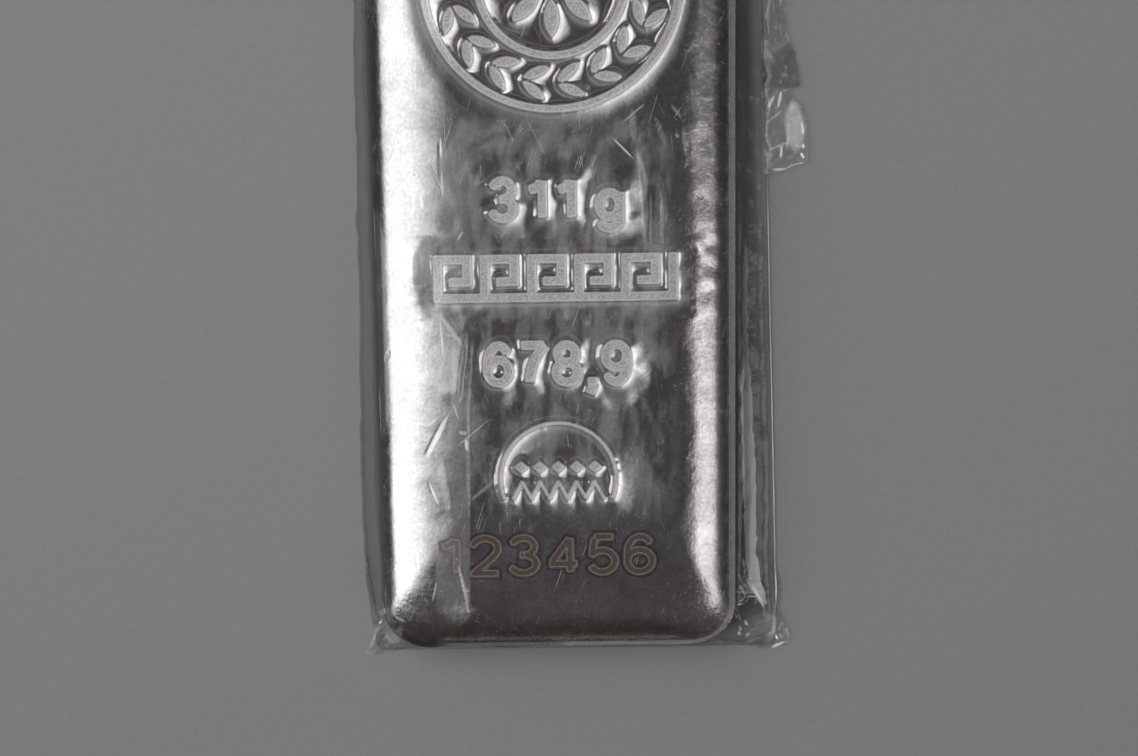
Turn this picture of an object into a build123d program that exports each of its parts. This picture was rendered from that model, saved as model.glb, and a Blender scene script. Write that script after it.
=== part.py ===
from build123d import *
import os
from math import acos, cos, hypot, pi, radians, sin, sqrt, tan

# All sizes are in millimetres. X runs across the bar, Y along it towards the roundel, Z up.
# The origin is on the underside of the sleeve, below the middle of the bar.

# The bar is ten troy ounces of fine silver, pressed with a pillowed edge and a plain flat back.
silver_density = 10.49e-3  # grams in a cubic millimetre
bar_width = 40.5
bar_length = 97.0
bar_height = 8.32
bar_corner = 5.0  # corner radius in plan, at the side wall
top_corner = 8.0  # corner radius in plan, where the pillowed edge meets the flat top
edge_reach = 10.0  # how far in from the side the pillowed edge starts to fall
edge_drop = 4.4  # how far the pillow's quarter ellipse would fall by the side wall
shoulder_width = 1.2  # the last stretch beside the wall, where the edge falls straight
shoulder_tilt = 42.5  # degrees below the flat top
edge_sections = 12
foot_radius = 2.0

# Every mark is pressed in, with a flat floor.
mark_depth = 0.5
shoulder_run = 0.45  # how far a ring's sloped shoulder spreads beyond its floor

# The roundel near one end: two rings, a wreath of paired leaves between them and a rosette.
roundel_y = 28.7
outer_ring_radius = 14.0
inner_ring_radius = 8.1
ring_floor = 0.9
wreath_radius = 11.1
wreath_pairs = 18
wreath_leaf_length = 3.3
wreath_leaf_width = 1.2
wreath_leaf_lean = 32.0  # degrees between a leaf and the ring's tangent
wreath_leaf_spread = 1.0  # how far a leaf's middle lies from the wreath's own circle
rosette_petals = 8
rosette_petal_length = 4.3
rosette_petal_width = 1.7
rosette_petal_middle = 4.0  # from the rosette's middle to the middle of a petal
rosette_eye_radius = 0.95

# A running key band crosses the bar at about its middle.
key_y = -4.3
key_length = 27.4
key_height = 5.5
key_stroke = 1.1
key_repeats = 5
key_hook_reach = 3.3  # from the upright to the hook's outer side, between stroke centres
key_hook_tip = 1.75  # from the upright to the end of the hook's tongue
key_tongue_height = 1.85  # tongue above the base rail, between stroke centres

# A small stamp: an arch with a row of lozenges and a zigzag across its foot.
stamp_y = -27.6
arch_radius = 6.55
arch_floor = 0.45
arch_shoulder_run = 0.25
arch_sweep = 222.0  # degrees that the arch goes round, open at its foot
lozenge_count = 5
lozenge_length = 1.75
lozenge_height = 1.5
lozenge_pitch = 2.1
lozenge_row_y = 1.4  # above the stamp's middle
zigzag_teeth = 5
zigzag_pitch = 2.05
zigzag_height = 1.9
zigzag_stroke = 0.42
zigzag_row_y = -1.3

# The sleeve is a pouch of clear film, sealed flat along both sides and both ends.
film = 0.12
side_slack = 0.3  # between the bar's wall and the film beside it
foot_slack = 1.0  # between the bar's wall and the film where it meets the bottom sheet
top_slack = 0.5  # above the bar's flat top
left_seal_low, left_seal_high = 2.9, 2.0  # the seal beside the bar, at its lower and upper end
right_seal_low, right_seal_high = 5.4, 3.3
lower_seal = 1.8
upper_seal = 4.0
seal_corner = 1.5
# A torn flap of spare film stands out from the right seal, above the middle of the bar.
flap_out = 8.5  # from the bar's side
flap_low_y = 5.8
flap_wide_y = 11.0
flap_high_y = 34.0
flap_base_width = 2.0
# A tail of crumpled film sticks out of each lower corner.
tail_reach = 1.8
tail_width = 7.0

bar_bottom = film
bar_top = bar_bottom + bar_height


def pillow_height(inset, drop, top):
    """Height of the edge: a quarter ellipse from the flat top, then a straight shoulder."""
    share = 1 - max(inset, shoulder_width) / edge_reach
    shoulder_fall = max(shoulder_width - inset, 0) * tan(radians(shoulder_tilt))
    return top - drop * (1 - sqrt(1 - share**2)) - shoulder_fall


def pillow_crown(width, length, corner, last_corner, drop, top):
    """The body between the side wall and the flat top, lofted through rounded rectangles."""
    first_turn = acos(1 - shoulder_width / edge_reach)
    insets = [0]
    for step in range(edge_sections - 1):
        turn = first_turn + (pi / 2 - first_turn) * step / (edge_sections - 2)
        insets.append(edge_reach * (1 - cos(turn)))
    sections = []
    for inset in insets:
        radius = corner + (last_corner - corner) * inset / edge_reach
        outline = RectangleRounded(width - 2 * inset, length - 2 * inset, radius)
        sections.append(Pos(0, 0, pillow_height(inset, drop, top)) * outline)
    return loft(sections, ruled=True)


def leaf(length, width):
    """A pointed leaf along X, where two circles overlap."""
    radius = (length**2 + width**2) / (4 * width)
    rise = radius - width / 2
    return (Pos(0, -rise) * Circle(radius)) & (Pos(0, rise) * Circle(radius))


def stroke(start, end, width):
    """A straight stroke whose square ends reach half its width past both points."""
    run_x, run_y = end[0] - start[0], end[1] - start[1]
    middle = Pos((start[0] + end[0]) / 2, (start[1] + end[1]) / 2)
    bearing = Vector(run_x, run_y).get_signed_angle(Vector(1, 0), Vector(0, 0, -1))
    return middle * Rot(0, 0, bearing) * Rectangle(hypot(run_x, run_y) + width, width)


def pressed(outline):
    """The tool that presses a flat outline into the top of the bar."""
    return extrude(Pos(0, 0, bar_top - mark_depth) * outline, amount=2 * mark_depth)


def ring_groove(radius, floor_width, middle_y, run=shoulder_run, sweep=360.0):
    """A ring or an arch with a flat floor and sloped shoulders, turned about its own middle."""
    low, high = bar_top - mark_depth, bar_top + mark_depth
    half_floor = floor_width / 2
    half_mouth = half_floor + 2 * run
    profile = Polyline(
        (radius - half_floor, 0, low),
        (radius + half_floor, 0, low),
        (radius + half_mouth, 0, high),
        (radius - half_mouth, 0, high),
        close=True,
    )
    ring = revolve(make_face(profile), Axis.Z, revolution_arc=sweep)
    return Pos(0, middle_y) * Rot(0, 0, 90 - sweep / 2) * ring


def wreath():
    """Pairs of leaves that follow each other round the roundel."""
    leaves = []
    half_lean = wreath_leaf_lean
    for place in PolarLocations(wreath_radius, wreath_pairs):
        for side in (1, -1):
            turned = Rot(0, 0, 90 - side * half_lean) * leaf(wreath_leaf_length, wreath_leaf_width)
            leaves.append(place * Pos(side * wreath_leaf_spread, 0) * turned)
    return leaves


def rosette():
    petal = leaf(rosette_petal_length, rosette_petal_width)
    petals = [place * petal for place in PolarLocations(rosette_petal_middle, rosette_petals)]
    return petals + [Circle(rosette_eye_radius)]


def key_band():
    """A base rail with hooked uprights that all turn the same way, and an upright that ends it."""
    rail_length = key_length - key_stroke
    rise = key_height - key_stroke
    pitch = rail_length / key_repeats
    strokes = [stroke((0, 0), (rail_length, 0), key_stroke)]
    strokes.append(stroke((rail_length, 0), (rail_length, rise), key_stroke))
    for number in range(key_repeats):
        x = number * pitch
        strokes.append(stroke((x, 0), (x, rise), key_stroke))
        strokes.append(stroke((x, rise), (x + key_hook_reach, rise), key_stroke))
        hook = x + key_hook_reach
        strokes.append(stroke((hook, rise), (hook, key_tongue_height), key_stroke))
        tip = (x + key_hook_tip, key_tongue_height)
        strokes.append(stroke((hook, key_tongue_height), tip, key_stroke))
    return Pos(-rail_length / 2, -rise / 2) * (Sketch() + strokes)


def stamp_rows():
    """The lozenges and the zigzag inside the small stamp."""
    lozenge = make_face(Polyline(
        (lozenge_length / 2, 0), (0, lozenge_height / 2),
        (-lozenge_length / 2, 0), (0, -lozenge_height / 2), close=True,
    ))
    shapes = []
    for number in range(lozenge_count):
        shapes.append(Pos((number - (lozenge_count - 1) / 2) * lozenge_pitch, lozenge_row_y) * lozenge)
    half = zigzag_height / 2
    steps = 2 * zigzag_teeth
    corners = []
    for number in range(steps + 1):
        x = (number - steps / 2) * zigzag_pitch / 2
        corners.append((x, zigzag_row_y + (half if number % 2 else -half)))
    for start, end in zip(corners, corners[1:]):
        shapes.append(stroke(start, end, zigzag_stroke))
    return shapes


def make_bar():
    wall_top = pillow_height(0, edge_drop, bar_top)
    wall = Pos(0, 0, bar_bottom) * extrude(
        RectangleRounded(bar_width, bar_length, bar_corner), amount=wall_top - bar_bottom
    )
    wall = fillet(wall.faces().sort_by(Axis.Z)[0].edges(), foot_radius)
    bar = wall + pillow_crown(bar_width, bar_length, bar_corner, top_corner, edge_drop, bar_top)
    bar -= ring_groove(outer_ring_radius, ring_floor, roundel_y)
    bar -= ring_groove(inner_ring_radius, ring_floor, roundel_y)
    bar -= ring_groove(arch_radius, arch_floor, stamp_y, arch_shoulder_run, arch_sweep)
    marks = [Pos(0, roundel_y) * shape for shape in wreath() + rosette()]
    marks += [Pos(0, stamp_y) * shape for shape in stamp_rows()]
    marks += [Pos(0, key_y) * key_band()]
    bar -= pressed(Sketch() + marks)
    return bar


def pouch_form(slack, skin, floor):
    """The loose tent that the upper sheet makes over the bar, grown by skin on every side."""
    wall_width = bar_width + 2 * (slack + skin)
    wall_length = bar_length + 2 * (slack + skin)
    wall_corner = bar_corner + slack + skin
    spread = 2 * (foot_slack - side_slack)
    foot = RectangleRounded(wall_width + spread, wall_length + spread, wall_corner + spread / 2)
    drop, top = edge_drop + top_slack + skin, bar_top + top_slack + skin
    shoulder = Pos(0, 0, pillow_height(0, drop, top)) * RectangleRounded(
        wall_width, wall_length, wall_corner
    )
    skirt = loft([Pos(0, 0, floor) * foot, shoulder])
    crown_corner = top_corner + slack + skin
    return skirt + pillow_crown(wall_width, wall_length, wall_corner, crown_corner, drop, top)


def seal_outline():
    """The flat sealed rim in plan, with its torn flap and the tails at the two lower corners."""
    side, end = bar_width / 2, bar_length / 2
    low, high = -end - lower_seal, end + upper_seal
    rim = make_face(Polyline(
        (-side - left_seal_low, low), (side + right_seal_low, low),
        (side + right_seal_high, high), (-side - left_seal_high, high),
        close=True,
    ))
    rim = fillet(rim.vertices(), seal_corner)
    base = side + min(right_seal_low, right_seal_high) - flap_base_width
    flap = make_face(Polyline(
        (base, flap_low_y), (side + 0.9 * flap_out, flap_low_y), (side + flap_out, flap_wide_y),
        (side + 0.7 * flap_out, (flap_wide_y + flap_high_y) / 2), (base, flap_high_y),
        close=True,
    ))
    left_tail = Pos(-side - left_seal_low + tail_width / 2, low) * RectangleRounded(
        tail_width, 2 * tail_reach, 0.9 * tail_reach
    )
    right_tail = Pos(side + right_seal_low, low + tail_width / 2) * RectangleRounded(
        2 * tail_reach, tail_width, 0.9 * tail_reach
    )
    return rim + flap + left_tail + right_tail


def make_sleeve():
    rim = extrude(seal_outline(), amount=2 * film)
    sleeve = pouch_form(side_slack, film, 0) + rim
    return sleeve - pouch_form(side_slack, 0, film)


bar = make_bar()
sleeve = make_sleeve()
print("bar grams", round(bar.volume * silver_density, 2))

os.makedirs("parts", exist_ok=True)
export_step(bar, "parts/silver_bar.step")
export_step(sleeve, "parts/clear_sleeve.step")
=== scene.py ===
import math
import bpy
import numpy as np
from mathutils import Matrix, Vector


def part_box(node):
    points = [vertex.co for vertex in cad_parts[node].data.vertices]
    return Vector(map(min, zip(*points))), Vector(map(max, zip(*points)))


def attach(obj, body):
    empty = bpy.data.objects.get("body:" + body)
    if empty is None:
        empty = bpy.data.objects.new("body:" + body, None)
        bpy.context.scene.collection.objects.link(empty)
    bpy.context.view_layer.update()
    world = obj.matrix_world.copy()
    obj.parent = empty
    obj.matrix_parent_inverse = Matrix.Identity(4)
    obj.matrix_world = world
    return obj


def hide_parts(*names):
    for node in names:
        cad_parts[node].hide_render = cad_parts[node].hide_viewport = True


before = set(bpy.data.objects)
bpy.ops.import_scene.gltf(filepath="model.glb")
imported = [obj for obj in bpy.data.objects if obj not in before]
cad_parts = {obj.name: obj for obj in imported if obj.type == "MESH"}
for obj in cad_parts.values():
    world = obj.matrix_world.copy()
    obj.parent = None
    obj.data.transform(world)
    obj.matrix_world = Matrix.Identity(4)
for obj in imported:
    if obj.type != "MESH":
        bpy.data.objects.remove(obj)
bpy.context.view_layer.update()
print("frame loaded:", ", ".join(sorted(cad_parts)))

mm = 0.001  # every length below is in millimetres, and a mesh is brought to metres as it is finished

barLow, barHigh = (np.array(corner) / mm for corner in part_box("silver_bar"))
halfWidth = (barHigh[0] - barLow[0]) / 2
halfLength = (barHigh[1] - barLow[1]) / 2
barBottom, barTop = barLow[2], barHigh[2]
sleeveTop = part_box("clear_sleeve")[1][2] / mm


# Shader building

class Wire:
    # one output socket, which can stand in a sum like a number
    def __init__(self, shader, socket):
        self.shader = shader
        self.socket = socket

    def maths(self, operation, *values):
        settings = {"operation": operation}
        return self.shader.add("ShaderNodeMath", settings, dict(enumerate(values)))

    def __add__(self, other):
        return self.maths("ADD", self, other)

    def __radd__(self, other):
        return self.maths("ADD", other, self)

    def __sub__(self, other):
        return self.maths("SUBTRACT", self, other)

    def __rsub__(self, other):
        return self.maths("SUBTRACT", other, self)

    def __mul__(self, other):
        return self.maths("MULTIPLY", self, other)

    def __rmul__(self, other):
        return self.maths("MULTIPLY", other, self)

    def __truediv__(self, other):
        return self.maths("DIVIDE", self, other)

    def __pow__(self, other):
        return self.maths("POWER", self, other)

    def __abs__(self):
        return self.maths("ABSOLUTE", self)

    def smaller(self, other):
        return self.maths("MINIMUM", self, other)

    def larger(self, other):
        return self.maths("MAXIMUM", self, other)

    def ramp(self, low, high, toLow=0.0, toHigh=1.0):
        # follows this value smoothly from toLow at low to toHigh at high
        settings = {"interpolation_type": "SMOOTHSTEP"}
        values = {"Value": self, 1: low, 2: high, 3: toLow, 4: toHigh}
        return self.shader.add("ShaderNodeMapRange", settings, values)

    def band(self, middle, halfWide, soft):
        # 1 within halfWide of middle, and 0 past the soft edge
        return abs(self - middle).ramp(halfWide, halfWide + soft, 1.0, 0.0)


class Shader:
    def __init__(self, block):
        block.use_nodes = True
        self.block = block
        self.tree = block.node_tree
        self.tree.nodes.clear()

    def add(self, kind, settings=None, sockets=None, output=0):
        node = self.tree.nodes.new(kind)
        for key, value in (settings or {}).items():
            if key == "stops":
                self.setStops(node.color_ramp, value)
            else:
                setattr(node, key, value)
        for key, value in (sockets or {}).items():
            if isinstance(value, Wire):
                self.tree.links.new(value.socket, node.inputs[key])
            else:
                node.inputs[key].default_value = value
        return Wire(self, node.outputs[output]) if len(node.outputs) else node

    def setStops(self, colorRamp, stops):
        while len(colorRamp.elements) < len(stops):
            colorRamp.elements.new(1.0)
        for element, (place, shade) in zip(colorRamp.elements, stops):
            element.position = place
            element.color = shade

    def objectPlace(self, scale=(1, 1, 1), turn=(0, 0, 0)):
        # object coordinates in millimetres, turned and then scaled
        place = self.add("ShaderNodeTexCoord", output="Object")
        values = {
            "Vector": place,
            "Scale": tuple(mm / part for part in scale),
            "Rotation": tuple(math.radians(part) for part in turn),
        }
        return self.add("ShaderNodeMapping", {"vector_type": "TEXTURE"}, values)

    def noise(self, place, scale, detail, roughness, distortion=0.0):
        values = {
            "Vector": place,
            "Scale": scale,
            "Detail": detail,
            "Roughness": roughness,
            "Distortion": distortion,
        }
        return self.add("ShaderNodeTexNoise", None, values)

    def mixColor(self, factor, first, second, blend="MIX"):
        settings = {"data_type": "RGBA", "blend_type": blend}
        return self.add("ShaderNodeMix", settings, {0: factor, 6: first, 7: second}, output=2)

    def attribute(self, name):
        return self.add("ShaderNodeAttribute", {"attribute_name": name}, output="Fac")

    def stroke(self, place, x, y, length, width, turn, strength):
        # a slim oval on the bar's plane: its strength in the middle, and 0 at its edge
        cosine, sine = math.cos(math.radians(turn)), math.sin(math.radians(turn))
        ways = (
            (2 * cosine / length, 2 * sine / length, 0.0),
            (-2 * sine / width, 2 * cosine / width, 0.0),
        )
        dot = {"operation": "DOT_PRODUCT"}
        off = self.add("ShaderNodeVectorMath", {"operation": "SUBTRACT"}, {0: place, 1: (x, y, 0.0)})
        along, across = (
            self.add("ShaderNodeVectorMath", dot, {0: off, 1: way}, output="Value") for way in ways
        )
        fullUpTo = 0.36  # the squared share of the oval that has its full strength
        return (along * along + across * across).ramp(fullUpTo, 1.0, strength, 0.0)

    def strokes(self, place, settings):
        # the strongest of many strokes
        total = 0.0
        for values in settings:
            total = self.stroke(place, *values).larger(total)
        return total

    def bump(self, height, distance):
        values = {"Height": height, "Distance": distance * mm, "Strength": 1.0}
        return self.add("ShaderNodeBump", None, values)

    def finish(self, surface):
        isWorld = isinstance(self.block, bpy.types.World)
        kind = "ShaderNodeOutputWorld" if isWorld else "ShaderNodeOutputMaterial"
        self.add(kind, None, {"Surface": surface})
        return self.block


def grey(value):
    return (value, value, value, 1.0)


# Distance to the outline of a mark, in the plane of the bar's top: below 0 inside it

def boxDistance(x, y, start, end, width, reach=0.0):
    runX, runY = end[0] - start[0], end[1] - start[1]
    length = math.hypot(runX, runY)
    alongX, alongY = runX / length, runY / length
    offX, offY = x - (start[0] + end[0]) / 2, y - (start[1] + end[1]) / 2
    along = np.abs(offX * alongX + offY * alongY) - (length / 2 + reach)
    across = np.abs(offY * alongX - offX * alongY) - width / 2
    outside = np.hypot(np.maximum(along, 0), np.maximum(across, 0))
    return outside + np.minimum(np.maximum(along, across), 0)


def capsuleDistance(x, y, start, end, width):
    runX, runY = end[0] - start[0], end[1] - start[1]
    share = ((x - start[0]) * runX + (y - start[1]) * runY) / (runX**2 + runY**2)
    share = np.clip(share, 0, 1)
    return np.hypot(x - start[0] - share * runX, y - start[1] - share * runY) - width / 2


def strokeDistance(x, y, points, width):
    # the free ends are cut square and the joints between are round
    pairs = list(zip(points, points[1:]))
    closed = math.dist(points[0], points[-1]) < 1e-6
    found = np.full(x.shape, 1e3)
    for number, (start, end) in enumerate(pairs):
        isEnd = number in (0, len(pairs) - 1) and not closed
        if isEnd:
            distance = boxDistance(x, y, start, end, width)
        else:
            distance = capsuleDistance(x, y, start, end, width)
        found = np.minimum(found, distance)
    return found


def ringDistance(x, y, radius, width):
    return np.abs(np.hypot(x, y) - radius) - width / 2


def archDistance(x, y, radius, width, sweep):
    turn = np.degrees(np.arctan2(x, y))  # from straight up, so the two ends mirror each other
    near, far = radius - width / 2, radius + width / 2
    atEnds = []
    for end in (math.radians(90 - sweep / 2), math.radians(90 + sweep / 2)):
        cosine, sine = math.cos(end), math.sin(end)
        atEnds.append(boxDistance(x, y, (near * cosine, near * sine), (far * cosine, far * sine), 0.0))
    return np.where(
        np.abs(turn) < sweep / 2, ringDistance(x, y, radius, width), np.minimum(*atEnds)
    )


def leafDistance(x, y, length, width, middle, bearing):
    radius = (length**2 + width**2) / (4 * width)
    rise = radius - width / 2
    cosine, sine = math.cos(bearing), math.sin(bearing)
    offX, offY = x - middle[0], y - middle[1]
    along, across = offX * cosine + offY * sine, offY * cosine - offX * sine
    return np.maximum(np.hypot(along, across + rise), np.hypot(along, across - rise)) - radius


def lozengeDistance(x, y, halfWide, halfHigh):
    share = np.abs(x) / halfWide + np.abs(y) / halfHigh - 1
    return share * halfWide * halfHigh / math.hypot(halfWide, halfHigh)


# Plain numerals, drawn as stroke middles in a box one unit high

def arc(middleX, middleY, radiusX, radiusY, start, end, steps=14):
    turns = [math.radians(start + (end - start) * step / steps) for step in range(steps + 1)]
    return [(middleX + radiusX * math.cos(turn), middleY + radiusY * math.sin(turn)) for turn in turns]


def bend(start, pull, end, steps=8):
    shares = [step / steps for step in range(steps + 1)]
    return [
        tuple((1 - t) ** 2 * a + 2 * t * (1 - t) * b + t * t * c for a, b, c in zip(start, pull, end))
        for t in shares
    ]


six = [
    arc(0.28, 0.31, 0.28, 0.31, 0, 360, 24),
    [(0.0, 0.31)] + arc(0.29, 0.5, 0.29, 0.5, 180, 38),
]
numerals = {
    "1": [[(0.4, 0.0), (0.4, 1.0)], bend((0.05, 0.76), (0.3, 0.78), (0.36, 0.98), 4)],
    "2": [arc(0.28, 0.72, 0.28, 0.28, 172, -30) + bend((0.522, 0.58), (0.43, 0.4), (0.03, 0.03)),
          [(-0.08, 0.0), (0.58, 0.0)]],
    "3": [arc(0.27, 0.755, 0.25, 0.245, 165, -90), arc(0.27, 0.26, 0.285, 0.26, 90, -165),
          [(0.17, 0.515), (0.32, 0.515)]],
    "4": [[(0.42, 0.0), (0.42, 1.0)], [(0.42, 0.98), (0.0, 0.27)], [(-0.06, 0.25), (0.6, 0.25)]],
    "5": [[(0.53, 1.0), (0.08, 1.0)], [(0.1, 1.0), (0.04, 0.5)],
          [(0.03, 0.46)] + arc(0.27, 0.31, 0.285, 0.31, 140, -160)],
    "6": six,
    "7": [[(-0.03, 1.0), (0.57, 1.0)], [(0.55, 0.98)] + bend((0.53, 0.93), (0.22, 0.55), (0.18, 0.0))],
    "8": [arc(0.28, 0.755, 0.235, 0.245, 0, 360, 24), arc(0.28, 0.265, 0.28, 0.265, 0, 360, 24)],
    "9": [[(0.56 - x, 1 - y) for x, y in stroke] for stroke in six],
    "g": [arc(0.27, 0.33, 0.27, 0.325, 0, 360, 24), [(0.54, 0.68), (0.54, -0.02)],
          [(0.54, 0.05)] + arc(0.27, -0.05, 0.27, 0.24, 0, -150)],
    ",": [[(0.1, -0.1), (0.1, 0.14)], [(0.13, -0.08), (0.03, -0.33)]],
}


def numeralSpan(sign):
    if sign == " ":
        return 0, 0.16
    xs = [x for stroke in numerals[sign] for x, y in stroke]
    return min(xs), max(xs)


def layLine(s):
    # strokes of a line of numerals whose outside fills the given height and width
    words, stroke = s["words"], s["stroke"]
    rise = s["high"] - s["low"] - stroke
    run = rise * s["stretch"]
    spans = [numeralSpan(sign) for sign in words]
    inked = sum(run * (end - start) + (stroke if sign != " " else 0)
                for sign, (start, end) in zip(words, spans))
    gap = (s["wide"] - inked) / (len(words) - 1)
    lines, x = [], s["x"] - s["wide"] / 2
    for sign, (start, end) in zip(words, spans):
        if sign != " ":
            left = x + stroke / 2 - run * start
            for strokePoints in numerals[sign]:
                lines.append([(left + run * px, s["low"] + stroke / 2 + rise * py)
                              for px, py in strokePoints])
            x += stroke
        x += run * (end - start) + gap
    return lines


# The bar: a grid is laid over its pillowed body, and the marks are pressed into it

barSettings = {
    "cornerRadius": 5.0,
    "topCornerRadius": 8.0,
    "edgeReach": 10.0,
    "edgeDrop": 4.4,
    "shoulder": 1.2,
    "shoulderTilt": 42.5,
    "footTilt": 33.0,
    "footRadius": 2.0,
    "footRings": 6,
    "wallRings": 2,
    "crownInsets": (0.0, 0.04, 0.15, 0.34, 0.6, 0.94, 1.3, 1.65, 2.0, 2.35, 2.7, 3.05, 3.4, 3.75,
                    4.1, 4.45, 4.8, 5.1),
    "blendInset": 19.0,
    "cell": 0.215,
    # how far from an outline, in cells, the grid's points are drawn onto it
    "snapReach": 0.4,
    "markEdge": 0.05,
    "serialDepth": 0.04,
    "waveHeight": 0.018,
    "waveLength": 9.0,
    "dimpleHeight": 0.009,
    "dimpleLength": 3.2,
    # uneven metal pulled about by the marks pressed beside it
    "pullHeight": 0.04,
    "pullLength": 2.4,
    "pullReach": 5.0,
    "topMargin": 0.1,
    "smoothing": 3,
    "smoothingShare": 0.6,
    "seed": 4,
}
pressSettings = {
    "depth": 0.5,
    "roundelLip": 1.9,
    # how wide the lip of each kind of mark is, and how deep and far it drags the metal round it down
    "roundel": {"lip": 0.75, "sink": 0.24, "reach": 2.1, "power": 1.6},
    "lines": {"lip": 0.55, "sink": 0.36, "reach": 2.5, "power": 1.25},
    "key": {"lip": 0.5, "sink": 0.34, "reach": 2.0, "power": 1.15},
    "arch": {"lip": 0.45, "sink": 0.3, "reach": 2.4, "power": 1.3},
    "rows": {"lip": 0.3, "sink": 0.26, "reach": 1.6, "power": 1.3},
}
roundelSettings = {
    "y": 28.7,
    "near": (12.0, 45.0),  # the heights between which its distance is measured
    "outerRadius": 14.0,
    "innerRadius": 8.1,
    "floor": 0.9,
    "wreathRadius": 11.1,
    "pairs": 18,
    "leaf": (3.3, 1.2),
    "lean": 32.0,
    "spread": 1.0,
    "petals": 8,
    "petal": (4.3, 1.7),
    "petalMiddle": 4.0,
    "eye": 0.95,
}
keySettings = {
    "y": -4.3,
    "near": (-9.0, 0.5),
    "length": 27.4,
    "height": 5.5,
    "stroke": 1.1,
    "repeats": 5,
    "hookReach": 3.3,
    "hookTip": 1.75,
    "tongue": 1.85,
}
stampSettings = {
    "y": -27.6,
    "near": (-36.5, -19.0),
    "radius": 6.55,
    "floor": 0.45,
    "sweep": 222.0,
    "lozenges": 5,
    "lozenge": (1.75, 1.5),
    "lozengePitch": 2.1,
    "lozengeY": 1.4,
    "teeth": 5,
    "toothPitch": 2.05,
    "toothHeight": 1.9,
    "toothStroke": 0.42,
    "toothY": -1.3,
}
lineSettings = {
    "weight": {"words": "311 g", "low": 1.95, "high": 7.3, "wide": 15.3, "x": 0.18, "stroke": 1.12,
               "stretch": 1.0, "near": (-1.5, 9.5)},
    "count": {"words": "678,9", "low": -16.86, "high": -11.43, "wide": 16.8, "x": 0.07, "stroke": 1.12,
              "stretch": 1.0, "near": (-20.5, -9.0)},
    "serial": {"words": "123456", "low": -39.1, "high": -33.9, "wide": 25.1, "x": -1.44, "stroke": 1.0,
               "stretch": 1.22, "near": (-42.0, -31.0)},
}


def waves(x, y, length, seed):
    # a smooth uneven surface between about -1 and 1
    count = 10
    rng = np.random.default_rng(seed)
    turns = rng.uniform(0, math.pi, count)
    stretches = rng.uniform(0.7, 1.6, count)
    phases = rng.uniform(0, 2 * math.pi, count)
    total = np.zeros(x.shape)
    for turn, stretch, phase in zip(turns, stretches, phases):
        pace = 2 * math.pi / (length * stretch)
        total += np.sin(pace * (x * math.cos(turn) + y * math.sin(turn)) + phase)
    return total / math.sqrt(count)


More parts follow.
